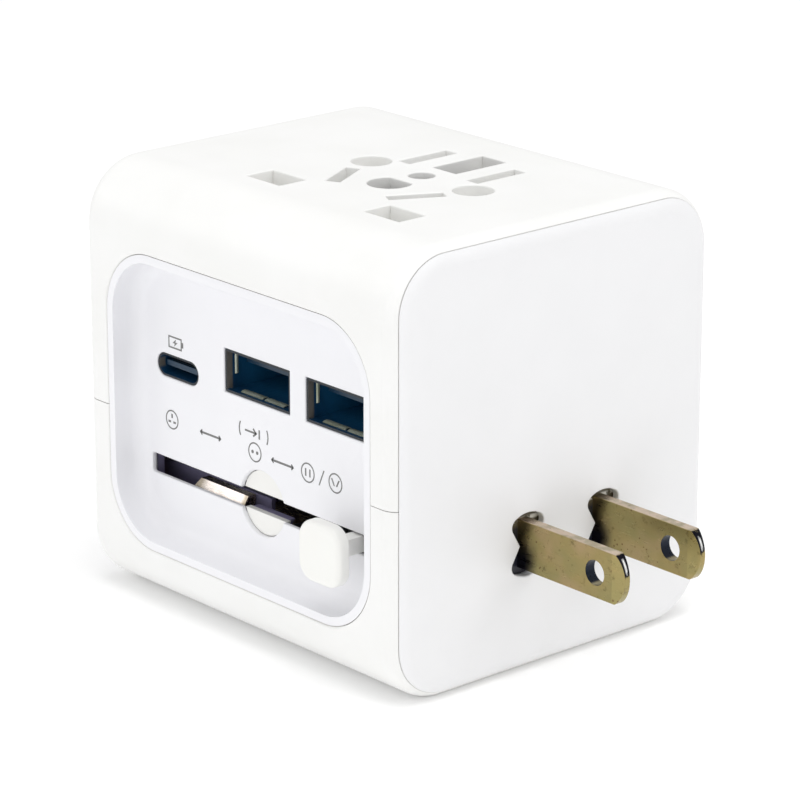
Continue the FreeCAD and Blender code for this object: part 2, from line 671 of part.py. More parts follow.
def usb_a_tongue(x):
    """Insulator at the back of a port with the contact tongue that reaches towards the mouth."""
    back = (PORT_Y + USB_A_DEPTH - 3.3, PORT_Y + USB_A_DEPTH - 0.3)
    block = box(span(x, USB_A_SIZE[0] - 0.7), back, span(USB_A_Z, USB_A_SIZE[1] - 0.7))
    tongue = box(span(x, 11.0), (PORT_Y + USB_A_TONGUE_BACK, back[0]), USB_A_TONGUE_Z)
    return fuse([block, tongue])


def usb_c_shell():
    y = (PORT_Y, PORT_Y + USB_C_DEPTH)
    return usb_c_block(y, -0.08).cut(usb_c_block((y[0] - 1, y[1] - 0.3), -0.6))


def usb_c_tongue():
    back = (PORT_Y + USB_C_DEPTH - 2.3, PORT_Y + USB_C_DEPTH - 0.3)
    tongue = box(span(USB_C_X, 6.7), (PORT_Y + 0.8, back[0]), span(USB_C_Z, 0.7))
    return fuse([usb_c_block(back, -0.6), tongue])


def usb_board():
    """It ends in front of the shuttle's arm and the round-pin carriage, which both pass behind it."""
    board = box((-25.0, 25.0), (-20.2, -4.6), BOARD_Z)
    return board.makeFillet(0.8, edges_along(board, Z))


def port_feet():
    """Solder feet that carry the ports on the board."""
    feet = []
    for x in USB_A_X:
        for side in (-1, 1):
            feet.append(box(span(x + side * 5.9, 0.5), (-18.0, -16.0),
                            (BOARD_Z[1], USB_A_Z - USB_A_SIZE[1] / 2 + 0.05)))
    for side in (-1, 1):
        feet.append(box(span(USB_C_X + side * 2.6, 0.5), (-19.0, -17.0),
                        (BOARD_Z[1], USB_C_Z - USB_C_SIZE[1] / 2 + 0.04)))
    return Part.makeCompound(feet)


def power_inductor():
    block = box((-20.0, -13.2), (-12.4, -5.6), (BOARD_Z[1], 33.6))
    return block.makeChamfer(1.2, edges_along(block, Z))


def board_chips():
    chips = [box((-24.0, -21.0), (-12.0, -8.0), (BOARD_Z[1], BOARD_Z[1] + 1.0)),
             box((8.6, 12.6), (-7.0, -5.0), (BOARD_Z[1], BOARD_Z[1] + 1.0)),
             box((-12.0, -9.0), (-9.0, -6.0), (BOARD_Z[1], BOARD_Z[1] + 0.9))]
    return Part.makeCompound(chips)


def power_board():
    return box((-20.5, 20.5), (19.6, 21.2), (29.2, 50.0))


def transformer_core():
    core = box((-19.0, -5.0), (11.6, 19.6), (29.2, 36.2))
    return core.cut(box((-16.4, -7.6), (10.0, 30.0), (31.0, 34.4)))


def transformer_winding():
    return rounded((-16.3, -7.7), (8.6, 19.5), (31.1, 34.3), 1.2, Y)


def capacitors():
    return Part.makeCompound([rod(V(x, 9.2, 32.6), Y, 3.2, 10.4) for x in (5.0, 12.2)])


def fuse_link():
    """Glass cartridge fuse: tube and two end caps."""
    glass = rod(V(-7.5, 20.0, 8.0), X, 2.3, 15.0)
    caps = [rod(V(x, 20.0, 8.0), X, 2.6, 5.0).cut(glass) for x in (-10.0, 5.0)]
    return glass, Part.makeCompound(caps)


def fuse_clips():
    clips = []
    for x in (-8.8, 8.8):
        outer = box(span(x, 1.6), (16.9, 23.1), (TRAY_FLOOR_Z[1], 9.0))
        clips.append(outer.cut(rod(V(x - 2, 20.0, 8.0), X, 2.6, 4)).common(cavity(CLEAR)))
    return Part.makeCompound(clips)


# ---------------------------------------------------------------- springs and fasteners

def detent_spring():
    """Bent strip behind the panel slot, with a sloping front lip that clicks the slider into its places."""
    foot, low, top = TRAY_LIP_Z, DETENT_LOW, DETENT_TOP
    back = -17.1
    front, ridge = DETENT_LIP_Y
    lean = (ridge - front) / (top - low)
    lip = DETENT_T * math.hypot(1, lean)
    profile = [(-18.6, foot), (back, foot), (back, top), (ridge, top), (front, low), (front + lip, low),
               (ridge + lip - DETENT_T * lean, top - DETENT_T), (back - DETENT_T, top - DETENT_T),
               (back - DETENT_T, foot + DETENT_T), (-18.6, foot + DETENT_T)]
    corners = [V(DETENT_X[0], y, z) for y, z in profile]
    strip = Part.Face(Part.makePolygon(corners + corners[:1])).extrude(V(12, 0, 0))
    outline = [V(DETENT_X[0], -20, foot), V(DETENT_X[1], -20, foot), V(DETENT_X[1], -20, top - 1.1),
               V(DETENT_TOP_X[1], -20, top), V(DETENT_TOP_X[0], -20, top), V(DETENT_X[0], -20, top - 1.1)]
    return strip.common(Part.Face(Part.makePolygon(outline + outline[:1])).extrude(V(0, 10, 0)))


def case_screws():
    screws = []
    for side in (-1, 1):
        head = rod(V(side * SCREW_X, SCREW_Y, 1.0), Z, 2.2, 1.6)
        head = head.cut(box(span(side * SCREW_X, 3.0), span(SCREW_Y, 0.7), (0, 1.8)))
        head = head.cut(box(span(side * SCREW_X, 0.7), span(SCREW_Y, 3.0), (0, 1.8)))
        shank = rod(V(side * SCREW_X, SCREW_Y, 2.6), Z, 1.1, 28.0)
        screws.append(fuse([head, shank]))
    return Part.makeCompound(screws)


def release_springs():
    length = SPRING_STOP_Y - RING_Y[1]
    return Part.makeCompound([coil(V(side * 24.0, RING_Y[1], SLOT_Z), Y, 0.8, 0.15, length, 4)
                              for side in (-1, 1)])


def knob_spring():
    return coil(V(KNOB_X, -13.4, SLOT_Z), Y, 0.9, 0.18, 3.8, 4)


def shutter_spring():
    return coil(V(SHUTTER_LEFT[1], -12.5, 53.6), X, 0.4, 0.1, SHUTTER_RIGHT[0] - SHUTTER_LEFT[1], 16)


# ---------------------------------------------------------------- write the pieces

def pieces():
    envelope = case_envelope()
    shell = shell_tube(envelope)
    base, cap = shuttle_halves()
    uk_live, uk_neutral, uk_earth, uk_sleeves = uk_pins_and_sleeves()
    usb_a_left, usb_a_right = usb_a_shells()
    fuse_glass, fuse_caps = fuse_link()
    outer_end = (IN_X - 1, 40)
    return {
        "upper_shell": upper_shell(shell),
        "lower_shell": lower_shell(shell),
        "port_panel": port_panel(),
        "flat_blade_plate": plug_plate(envelope, 1, blade_windows(outer_end)),
        "square_pin_plate": plug_plate(envelope, -1, uk_windows((-40, -IN_X + 1), 0.6)),
        "round_pin_plate": eu_plug_plate(),
        "mechanism_tray": mechanism_tray(),
        "shuttle_base": base,
        "shuttle_cap": cap,
        "blade_near": blade(-1),
        "blade_far": blade(1),
        "blade_boss_near": boss(-1).cut(blade(-1)),
        "blade_boss_far": boss(1).cut(blade(1)),
        "square_pin_live": uk_live,
        "square_pin_neutral": uk_neutral,
        "square_pin_earth": uk_earth,
        "square_pin_sleeves": uk_sleeves,
        "wipers": wipers(),
        "slider_knob": slider_knob(),
        "knob_stem": knob_stem(),
        "knob_spring": knob_spring(),
        "release_frame": release_frame(),
        "release_button": release_button(),
        "release_springs": release_springs(),
        "round_pin_guide": eu_guide(),
        "round_pin_carriage": eu_carriage(),
        "round_pin_left": eu_pin(-1),
        "round_pin_right": eu_pin(1),
        "round_pin_sleeves": Part.makeCompound([eu_sleeve(-1), eu_sleeve(1)]),
        "live_rail": live_rail(),
        "neutral_rail": neutral_rail(),
        "live_contact": pole_contact(-1),
        "neutral_contact": pole_contact(1),
        "earth_contact": earth_contact(),
        "socket_deck": socket_deck(),
        "shutter_left": shutter(SHUTTER_LEFT),
        "shutter_right": shutter(SHUTTER_RIGHT),
        "shutter_guides": shutter_guides(),
        "shutter_spring": shutter_spring(),
        "usb_a_shell_left": usb_a_left,
        "usb_a_shell_right": usb_a_right,
        "usb_a_tongue_left": usb_a_tongue(USB_A_X[0]),
        "usb_a_tongue_right": usb_a_tongue(USB_A_X[1]),
        "usb_c_shell": usb_c_shell(),
        "usb_c_tongue": usb_c_tongue(),
        "usb_board": usb_board(),
        "port_feet": port_feet(),
        "power_inductor": power_inductor(),
        "board_chips": board_chips(),
        "power_board": power_board(),
        "transformer_core": transformer_core(),
        "transformer_winding": transformer_winding(),
        "capacitors": capacitors(),
        "fuse_glass": fuse_glass,
        "fuse_caps": fuse_caps,
        "fuse_clips": fuse_clips(),
        "detent_spring": detent_spring(),
        "case_screws": case_screws(),
    }


os.makedirs("parts", exist_ok=True)
for name, shape in pieces().items():
    print(f"{name:22s} solids {len(shape.Solids)} volume {shape.Volume:9.1f} valid {shape.isValid()}")
    shape.exportStep(f"parts/{name}.step")
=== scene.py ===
import json
import math

import bmesh
import bpy
from mathutils import Matrix, Vector


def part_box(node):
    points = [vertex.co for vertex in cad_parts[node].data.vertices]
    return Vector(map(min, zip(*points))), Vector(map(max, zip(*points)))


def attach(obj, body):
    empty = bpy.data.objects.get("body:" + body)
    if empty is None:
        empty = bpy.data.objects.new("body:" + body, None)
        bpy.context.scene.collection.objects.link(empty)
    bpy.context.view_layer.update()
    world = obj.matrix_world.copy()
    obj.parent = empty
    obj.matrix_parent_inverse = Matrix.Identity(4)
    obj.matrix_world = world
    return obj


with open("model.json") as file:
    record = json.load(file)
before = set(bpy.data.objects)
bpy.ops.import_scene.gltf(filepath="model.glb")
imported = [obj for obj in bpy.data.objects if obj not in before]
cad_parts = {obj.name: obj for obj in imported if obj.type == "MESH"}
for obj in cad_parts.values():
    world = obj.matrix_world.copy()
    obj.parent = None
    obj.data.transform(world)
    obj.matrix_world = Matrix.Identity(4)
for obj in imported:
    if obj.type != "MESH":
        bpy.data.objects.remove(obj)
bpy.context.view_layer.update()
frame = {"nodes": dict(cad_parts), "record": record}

# Universal travel adapter. Lengths are millimetres until they reach a mesh, a light or the camera.
MM = 0.001
NODES = frame["nodes"]

# ---- camera ----
CAMERA_AT = (343.1, -300.7, 176.5)
CAMERA_AZIMUTH = 48.663
CAMERA_ELEVATION = 18.196
CAMERA_LENS = 169.97
CAMERA_SENSOR = 36.0
CLIP_START = 0.01         # metres

# ---- studio, in metres and watts ----
SKY = 0.68
FLOOR_GLOW = 0.1
FLOOR_R = 4.0
FLOOR_SIDES = 96
AIM = (0, 0, 0.028)       # middle of the object, which the lights point at
LIGHTS = {                # place, side of the square and power
    "top_light": ((0.15, -0.05, 0.92), 0.6, 3.4),
    "front_light": ((0.1, -0.95, 0.05), 0.7, 1.7),
    "left_light": ((-0.71, -0.58, 0.39), 0.4, 0.6),
    "side_light": ((0.9, 0.35, 0.6), 0.5, 1.3),
}

# ---- printed marks: places are (x, z) on the panel ----
PANEL_Y = -21.7           # front of the panel's floor
INK = 0.02                # how far a printed mark stands proud
INK_BED = 0.03            # how far it reaches into the panel
INK_FRONT = PANEL_Y - INK
INK_BACK = PANEL_Y + INK_BED
LINE = 0.2                # width of a printed line
MITRE_LIMIT = 0.4         # least cosine that a line's corner is widened for
BATTERY_AT = (-17.0, 34.6)
BATTERY = (2.7, 1.6)      # width and height
BATTERY_TIP = (0.3, 0.7)
BATTERY_TIP_X = 1.5       # from the battery's middle
BOLT = ((0.2, 0.5), (-0.5, -0.08), (-0.05, -0.08), (-0.2, -0.5), (0.5, 0.08), (0.05, 0.08))
OUTLET_R = 1.2            # radius of a printed outlet
OUTLET_LINE = 0.18
RING_SIDES = 32
SQUARE_OUTLET_AT = (-17.9, 24.2)
ROUND_OUTLET_AT = (-1.3, 24.1)
FLAT_OUTLET_AT = (8.9, 24.1)
SLANTED_OUTLET_AT = (14.1, 24.1)
# Pin holes of a printed outlet: across, up, width, height and lean in degrees
SQUARE_PINS = ((0, 0.5, 0.28, 0.55, 0), (-0.5, -0.3, 0.5, 0.28, 0), (0.5, -0.3, 0.5, 0.28, 0))
FLAT_PINS = ((-0.4, 0, 0.24, 1.0, 0), (0.4, 0, 0.24, 1.0, 0))
SLANTED_PINS = ((-0.45, 0.05, 0.24, 0.9, -28), (0.45, 0.05, 0.24, 0.9, 28))
ROUND_PINS_X = (-1.75, -0.85)
ROUND_PIN_R = 0.23
ROUND_PIN_SIDES = 16
STROKE_AT = (11.5, 24.1)
STROKE = (0.2, 2.1)
STROKE_LEAN = 24
PRESS_Z = 26.6
BRACKETS = ((-2.4, 180), (-0.6, 0))    # x of a bracket's centre, and the way that it bulges, in degrees
BRACKET_R = 1.9
BRACKET_HALF = 29                      # degrees to each side
BRACKET_STEPS = 10
PRESS_ARROW_X = (-3.2, -1.0)
PRESS_HEAD = (0.6, 0.5)                # length of the head, and half of its height
PRESS_LINE = 0.24
PRESS_BAR_X = -0.4
PRESS_BAR = (0.26, 1.2)
ARROWS = {                             # left end, right end and height
    "mark_arrow_left": (-12.1, -8.1, 24.1),
    "mark_arrow_right": (2.0, 6.1, 24.0),
}
ARROW_LINE = 0.28
HEAD_LINE = 0.22
HEAD = 0.34                            # length of an arrow's head, and half of its height

# ---- ports: a bent strip's points are (in from the mouth, off its wall) ----
USB_A_WALL = 0.3
FINGER_T = 0.1
FLOOR_FINGERS = ((-3.9, 0.25), (0.7, 4.4))          # from the port's middle along X
FLOOR_RISE = ((0.5, 0.03), (0.8, 0.16), (1.1, 0.2), (1.6, 0.03))
SIDE_RISE = ((1.25, 0.03), (1.4, 0.14), (1.55, 0.16), (1.75, 0.03))
SIDE_FINGER_LOW = 2.1                               # up from the shell's underside
SIDE_FINGER_HIGH = 0.5                              # down from the shell's top
TONGUE_UNDER = 0.62       # underside of a tongue over the middle of its port
CONTACTS_X = (-3.5, -1.0, 1.0, 3.5)
CONTACT_BOW = ((0.5, 0.0), (1.3, -0.28), (2.2, -0.34), (3.4, -0.12), (4.6, 0.0), (6.4, 0.0))
CONTACT_HALF = 0.5        # half of a contact's width
CONTACT_T = 0.12
SMALL_CONTACTS = 12       # in each row of the small port
SMALL_PITCH = 0.5
SMALL_RUN = ((0.5, 0.0), (2.0, 0.0), (4.0, 0.0))
SMALL_HALF = 0.13
SMALL_T = 0.05
SMALL_LEVEL = 0.36        # from the middle of the tongue's thickness

# ---- painted shade, painted light and painted reflections, with nickel and brown bands, in millimetres ----
ROOT_SHADE_START = 0.2    # out of the blades' plate
ROOT_SHADE_END = 2.5
ROOT_SHADE_HALF = 1.5     # half of the height over which the painted shade fades
BORE_EDGE = (1.75, 1.95)  # round the axis of a blade's hole
NOSE_START = 2.4          # in from a blade's tip
NOSE_FULL = 2.2
NOSE_HIGHLIGHT_EDGE = (0.08, 0.22)             # to each side of a blade's middle plane
BOSS_REFLECTION_RISE = (1.8, 2.4)   # over the middle of a carrier
BOSS_HIGHLIGHT_RISE = (2.7, 3.2)
BOSS_HIGHLIGHT_SOFT = 0.12
MOUTH_PAINTED_BLUE = (1.5, 4.0)  # in from a port's mouth, where the painted-shade blue turns to the lighter painted-light blue
MOUTH_NICKEL = (0.8, 1.0)
STRIP_BROWN_LEFT = (1.0, 2.2)          # in from the strip's left end
STRIP_BROWN_RIGHT = (1.0, 0.4)         # in from its right end

# ---- patterns ----
NOISE_SPREAD = (0.3, 0.7)              # what most of a noise lies between
PATCH_EDGE = (0.35, 0.65)              # where a noise turns from one colour to the other
# reach, range and samples of the occlusion mask that places painted shade
CREVICE_REACH = 0.2
CREVICE_RANGE = (0.1, 0.6)
CREVICE_SAMPLES = 4
TARNISH_EDGE = (0.62, 0.72)
ALONG_X = (0.15, 1, 1)                 # stretches that turn a noise into drawn marks
ALONG_Y = (1, 0.15, 1)
ALONG_BLADE = (0.12, 1, 1)
ALONG_CONTACT = (1, 0.2, 1)
PLASTIC_IOR = 1.5
GLASS_IOR = 1.5

# ---- colours, as linear red, green and blue ----
# painted shade: the colour that corners and narrow gaps of the white plastics darken to
SEAM_PAINTED_SHADE = (0.62, 0.60, 0.56)
# painted shade where a blade leaves its plate
ROOT_PAINTED_SHADE = (0.02, 0.022, 0.045)
# painted shade and painted light on the wall of a blade's hole
BORE_PAINTED_SHADE = (0.02, 0.024, 0.035)
BORE_PAINTED_LIGHT = (0.30, 0.26, 0.16)
# painted reflection: a mirror-dark nose with one painted highlight streak
NOSE_PAINTED_REFLECTION = (0.012, 0.012, 0.018)
NOSE_PAINTED_HIGHLIGHT = (0.95, 0.95, 0.93)
BRASS_OLIVE = (0.37, 0.29, 0.122)
BRASS_GREEN = (0.32, 0.275, 0.118)
BRASS_PINK = (0.47, 0.33, 0.19)
BRASS_STAIN = (0.13, 0.10, 0.048)
# painted highlight on the blades' upward faces
BRASS_TOP_HIGHLIGHT = (0.42, 0.36, 0.24)
BRASS_TOP_HIGHLIGHT_BRIGHT = (0.64, 0.52, 0.40)
BRASS_PIT = (0.17, 0.10, 0.05)
# painted shade: dark blue for the port shells, and a lighter blue as painted light deep inside
PORT_PAINTED_SHADE_BLUE = (0.004, 0.046, 0.115)
PORT_PAINTED_LIGHT_BLUE = (0.012, 0.125, 0.280)
PORT_NICKEL = (0.17, 0.158, 0.14)
PORT_DULL_NICKEL = (0.12, 0.112, 0.098)
# painted shade on the port shells' front-facing edges
PORT_EDGE_PAINTED_SHADE = (0.012, 0.016, 0.022)
BOSS_BLACK = (0.010, 0.012, 0.022)
BOSS_GREY = (0.02, 0.02, 0.03)
# painted reflection and painted highlight on the carriers' upper half
BOSS_PAINTED_REFLECTION = (0.10, 0.085, 0.05)
BOSS_PAINTED_HIGHLIGHT = (0.72, 0.70, 0.64)
# painted light: the spring strip's nickel lightened to a bright warm cream
STRIP_PAINTED_LIGHT = (0.90, 0.83, 0.77)
STRIP_DULL_PAINTED_LIGHT = (0.86, 0.77, 0.70)
STRIP_BROWN = (0.36, 0.30, 0.20)
BOARD_GREEN = (0.015, 0.10, 0.045)
TRACK_GREEN = (0.03, 0.19, 0.09)
TAPE_DARK = (0.60, 0.38, 0.05)
TAPE_LIGHT = (0.72, 0.50, 0.09)
SLEEVE_BLUE = (0.012, 0.022, 0.075)
SLEEVE_LIGHT_BLUE = (0.018, 0.032, 0.10)
SLEEVE_STRIPE = (0.5, 0.52, 0.55)
GLASS_CLEAR = (0.90, 0.95, 0.94)
GLASS_CLOUDY = (0.84, 0.90, 0.88)
INK_DARK = (0.15, 0.15, 0.15)
INK_LIGHT = (0.22, 0.22, 0.215)
FLOOR_WHITE = (0.95, 0.95, 0.95)
FLOOR_GREY = (0.94, 0.94, 0.94)

# Moulded plastics: colour, tint, roughness, size of the grain and its depth
PLASTICS = {
    "case_white": ((0.89, 0.89, 0.88), (0.87, 0.87, 0.855), 0.42, 0.16, 0.003),
    "panel_white": ((0.875, 0.875, 0.90), (0.86, 0.86, 0.885), 0.40, 0.14, 0.003),
    "plate_white": ((0.85, 0.85, 0.86), (0.835, 0.835, 0.845), 0.42, 0.16, 0.003),
    "knob_white": ((0.885, 0.885, 0.855), (0.875, 0.87, 0.84), 0.36, 0.2, 0.002),
    "inner_white": ((0.86, 0.85, 0.82), (0.83, 0.82, 0.79), 0.40, 0.2, 0.003),
    "shutter_white": ((0.88, 0.875, 0.84), (0.86, 0.85, 0.81), 0.45, 0.2, 0.003),
    # dark_liner: a dark lilac lining put inside the slot and openings as painted shade
    "dark_liner": ((0.22, 0.20, 0.33), (0.25, 0.23, 0.36), 0.5, 0.2, 0.004),
    "shuttle_dark": ((0.045, 0.05, 0.055), (0.065, 0.07, 0.064), 0.5, 0.2, 0.004),
    "pin_sleeve": ((0.018, 0.018, 0.02), (0.03, 0.03, 0.03), 0.4, 0.2, 0.003),
    "component_black": ((0.02, 0.02, 0.022), (0.035, 0.035, 0.036), 0.45, 0.1, 0.003),
    "port_insulator": ((0.005, 0.030, 0.065), (0.008, 0.038, 0.075), 0.35, 0.2, 0.002),
}
# white plastics that get painted shade in their corners and gaps
PAINTED_SHADE_PLASTICS = ("case_white", "panel_white", "plate_white")

# Drawn and stamped metals: colour, tint, roughness, stretch of the marks and their depth
METALS = {
    "copper_strip": ((0.80, 0.42, 0.22), (0.70, 0.38, 0.22), 0.28, ALONG_X, 0.003),
    "pin_brass": ((0.62, 0.52, 0.32), (0.56, 0.48, 0.30), 0.22, ALONG_X, 0.003),
    "spring_steel": ((0.52, 0.52, 0.53), (0.44, 0.44, 0.45), 0.25, ALONG_Y, 0.002),
    "screw_steel": ((0.42, 0.42, 0.43), (0.34, 0.34, 0.35), 0.32, ALONG_X, 0.003),
}
CONTACT_NICKEL = ((0.50, 0.53, 0.44), (0.36, 0.39, 0.28), 0.35, ALONG_CONTACT, 0.001)
CONTACT_GOLD = ((0.10, 0.12, 0.14), (0.16, 0.16, 0.14), 0.35, ALONG_CONTACT, 0.001)

# Tarnish: its colour, and how much more of it there is than usual
TARNISH = {
    "copper_strip": ((0.30, 0.16, 0.09), 0.0),
    "pin_brass": ((0.25, 0.19, 0.10), -0.04),
    "screw_steel": ((0.18, 0.16, 0.14), 0.0),
}


def corners(name):
    """Lowest and highest corner of a CAD node, in millimetres."""
    low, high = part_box(name)
    return low / MM, high / MM


# ---------------------------------------------------------------- shader helpers

def feed(tree, value, socket):
    """Link a socket to an input, or set the input's own value."""
    if isinstance(value, bpy.types.NodeSocket):
        tree.links.new(value, socket)
    else:
        socket.default_value = value


def node(tree, kind, inputs, **settings):
    made = tree.nodes.new("ShaderNode" + kind)
    for key, value in settings.items():
        setattr(made, key, value)
    for key, value in inputs.items():
        feed(tree, value, made.inputs[key])
    return made


def millimetres(tree, stretch=(1, 1, 1)):
    """The piece's own coordinates in millimetres, so that a pattern moves with its piece."""
    source = tree.nodes.new("ShaderNodeTexCoord").outputs["Object"]
    scale = [side / MM for side in stretch]
    return node(tree, "Mapping", {"Vector": source, "Scale": scale}).outputs["Vector"]


def noise(tree, size, detail=2.0, rough=0.5, stretch=(1, 1, 1)):
    """Noise with patches of about this size in millimetres."""
    place = millimetres(tree, stretch)
    inputs = {"Vector": place, "Scale": 1 / size, "Detail": detail, "Roughness": rough}
    return node(tree, "TexNoise", inputs).outputs["Fac"]


def drawn_marks(tree, size, stretch):
    """Fine marks along one direction."""
    return noise(tree, size, detail=3.0, rough=0.6, stretch=stretch)


def remap(tree, value, low, high, to_low=0.0, to_high=1.0):
    inputs = {"Value": value, "From Min": low, "From Max": high, "To Min": to_low, "To Max": to_high}
    return node(tree, "MapRange", inputs).outputs["Result"]


def spread(tree, pattern, low, high):
    """A noise that runs from about this low to about this high."""
    return remap(tree, pattern, *NOISE_SPREAD, low, high)


def fade(tree, value, start, end):
    """1 up to the start, and 0 from the end on."""
    return remap(tree, value, start, end, 1.0, 0.0)


def calculate(tree, kind, first, second):
    made = tree.nodes.new("ShaderNodeMath")
    made.operation = kind
    feed(tree, first, made.inputs[0])
    feed(tree, second, made.inputs[1])
    return made.outputs[0]


def times(tree, first, second):
    return calculate(tree, "MULTIPLY", first, second)


def absolute(tree, value):
    return calculate(tree, "ABSOLUTE", value, 0.0)


def between(tree, value, low, high, soft):
    """1 where a value lies between two limits, with soft ends."""
    rise = remap(tree, value, low - soft, low + soft)
    return times(tree, rise, fade(tree, value, high - soft, high + soft))


def mix(tree, share, first, second):
    """Mix two colours."""
    made = tree.nodes.new("ShaderNodeMix")
    made.data_type = "RGBA"
    feed(tree, share, made.inputs[0])
    for value, socket in ((first, made.inputs[6]), (second, made.inputs[7])):
        feed(tree, value if isinstance(value, bpy.types.NodeSocket) else (*value, 1.0), socket)
    return made.outputs[2]


def patches(tree, pattern, first, second, edge=PATCH_EDGE):
    """Patches of a second colour where a pattern is high."""
    return mix(tree, remap(tree, pattern, *edge), first, second)


def crevices(tree):
    """1 in corners and narrow gaps, 0 in the open; it masks painted shade."""
    inputs = {"Distance": CREVICE_REACH * MM}
    made = node(tree, "AmbientOcclusion", inputs, samples=CREVICE_SAMPLES)
    return fade(tree, made.outputs["AO"], *CREVICE_RANGE)


def bump(tree, height, depth, under=None):
    """Bump of this depth in millimetres."""
    inputs = {"Height": height, "Distance": depth * MM, "Strength": 1.0}
    if under is not None:
        inputs["Normal"] = under
    return node(tree, "Bump", inputs).outputs["Normal"]


def facing(tree, axis):
    """How far a surface faces along one of the piece's own axes, from -1 to 1."""
    normal = tree.nodes.new("ShaderNodeTexCoord").outputs["Normal"]
    return node(tree, "SeparateXYZ", {"Vector": normal}).outputs[axis]


def along(tree, axis):
    """Place along one of the piece's own axes, in millimetres."""
    return node(tree, "SeparateXYZ", {"Vector": millimetres(tree)}).outputs[axis]


def new_material(name):
    material = bpy.data.materials.new(name)
    material.use_nodes = True
    return material.node_tree, material.node_tree.nodes["Principled BSDF"], material


def dress(tree, shader, colour, rough, normal=None, metallic=0.0):
    """Give a shader its colour, roughness, bump and metalness."""
    feed(tree, colour, shader.inputs["Base Color"])
    feed(tree, rough, shader.inputs["Roughness"])
    shader.inputs["Metallic"].default_value = metallic
    if normal is not None:
        feed(tree, normal, shader.inputs["Normal"])


# ---------------------------------------------------------------- materials

def plastic(name, colour, tint, rough, grain, depth, crevice_painted_shade=None):
    """Moulded plastic: faint colour drift, a fine spark-eroded texture and, when given a colour for it,
    painted shade in the gaps.
    """
    tree, shader, material = new_material(name)
    shade = patches(tree, noise(tree, 11.0, detail=3.0), colour, tint)
    if crevice_painted_shade is not None:
        # painted shade: darker colour where the occlusion mask finds corners and gaps
        shade = mix(tree, crevices(tree), shade, crevice_painted_shade)
    patchy = spread(tree, noise(tree, 5.0, detail=4.0), rough - 0.05, rough + 0.06)
    waves = bump(tree, noise(tree, 9.0, detail=1.0), depth * 2)
    dress(tree, shader, shade, patchy, bump(tree, noise(tree, grain), depth, waves))
    shader.inputs["IOR"].default_value = PLASTIC_IOR
    return material


def metal(name, colour, tint, rough, stretch, depth, tarnish=None, amount=0.0, metallic=1.0):
    """Drawn or stamped metal with fine marks along one direction and patchy tarnish."""
    tree, shader, material = new_material(name)
    shade = patches(tree, noise(tree, 3.0, detail=4.0, rough=0.6), colour, tint)
    if tarnish is not None:
        edge = [limit - amount for limit in TARNISH_EDGE]
        shade = patches(tree, noise(tree, 1.1, detail=5.0, rough=0.65), shade, tarnish, edge)
    marks = drawn_marks(tree, 0.25, stretch)
    uneven = spread(tree, marks, rough - 0.06, rough + 0.1)
    dress(tree, shader, shade, uneven, bump(tree, marks, depth), metallic)
    return material


def blade_middle(tree):
    """Distance from the middle plane of the nearer blade, in millimetres."""
    near, far = [sum(corner.y for corner in corners(name)) / 2 for name in ("blade_near", "blade_far")]
    from_pair = calculate(tree, "SUBTRACT", along(tree, "Y"), (near + far) / 2)
    off = calculate(tree, "SUBTRACT", absolute(tree, from_pair), (far - near) / 2)
    return absolute(tree, off)


def from_blade_hole(tree):
    """Distance from the axis of the holes near the blades' tips, in millimetres."""
    mount = next(row for row in frame["record"]["mounts"] if row["name"] == "blade_hole_near")
    centre = [value / MM for value in mount["pos_m"]]
    across = calculate(tree, "SUBTRACT", along(tree, "X"), centre[0])
    up = calculate(tree, "SUBTRACT", along(tree, "Z"), centre[2])
    squares = calculate(tree, "ADD", times(tree, across, across), times(tree, up, up))
    return calculate(tree, "SQRT", squares, 0.0)


def paint_root_shade(tree, shade):
    """Painted shade where a blade leaves its plate, stronger on its lower half."""
    plate = corners("flat_blade_plate")[1].x
    low, high = corners("blade_near")
    middle = (low.z + high.z) / 2
    root = fade(tree, along(tree, "X"), plate + ROOT_SHADE_START, plate + ROOT_SHADE_END)
    lower = remap(tree, along(tree, "Z"), middle - ROOT_SHADE_HALF, middle + ROOT_SHADE_HALF, 0.95, 0.1)
    # painted shade: darkens the blade near its plate
    return mix(tree, times(tree, root, lower), shade, ROOT_PAINTED_SHADE)


def paint_bore_shade_and_light(tree, sideways, shade):
    """Painted shade on the wall of a blade's hole, with painted light where it is nearly level."""
    bore = times(tree, sideways, fade(tree, from_blade_hole(tree), *BORE_EDGE))
    painted_lit = between(tree, facing(tree, "X"), -0.2, 0.35, soft=0.1)
    # painted shade on the hole's wall, with painted light where it is nearly level
    return mix(tree, bore, shade, mix(tree, painted_lit, BORE_PAINTED_SHADE, BORE_PAINTED_LIGHT))


def paint_nose_reflection(tree, sideways, shade):
    """Painted dark reflection on the nose, with one painted highlight streak."""
    tip = corners("blade_near")[1].x
    uneven = spread(tree, noise(tree, 0.7), -0.08, 0.08)
    tilt = calculate(tree, "ADD", facing(tree, "Z"), uneven)
    end = remap(tree, along(tree, "X"), tip - NOSE_START, tip - NOSE_FULL)
    nose = times(tree, end, times(tree, sideways, between(tree, tilt, 0.14, 0.80, soft=0.05)))
    middle = fade(tree, blade_middle(tree), *NOSE_HIGHLIGHT_EDGE)
    nose_highlight = times(tree, between(tree, tilt, 0.28, 0.62, soft=0.05), middle)
    # painted dark reflection and painted highlight on the blade's nose
    return mix(tree, nose, shade, mix(tree, nose_highlight, NOSE_PAINTED_REFLECTION, NOSE_PAINTED_HIGHLIGHT))


def paint_blade_light(tree, shade):
    """Painted shade at the root, painted shade and light in the hole, and a painted reflection on the nose;
    the last two aren't on the flat sides.
    """
    sideways = fade(tree, absolute(tree, facing(tree, "Y")), 0.3, 0.6)
    shade = paint_root_shade(tree, shade)
    shade = paint_bore_shade_and_light(tree, sideways, shade)
    return paint_nose_reflection(tree, sideways, shade)


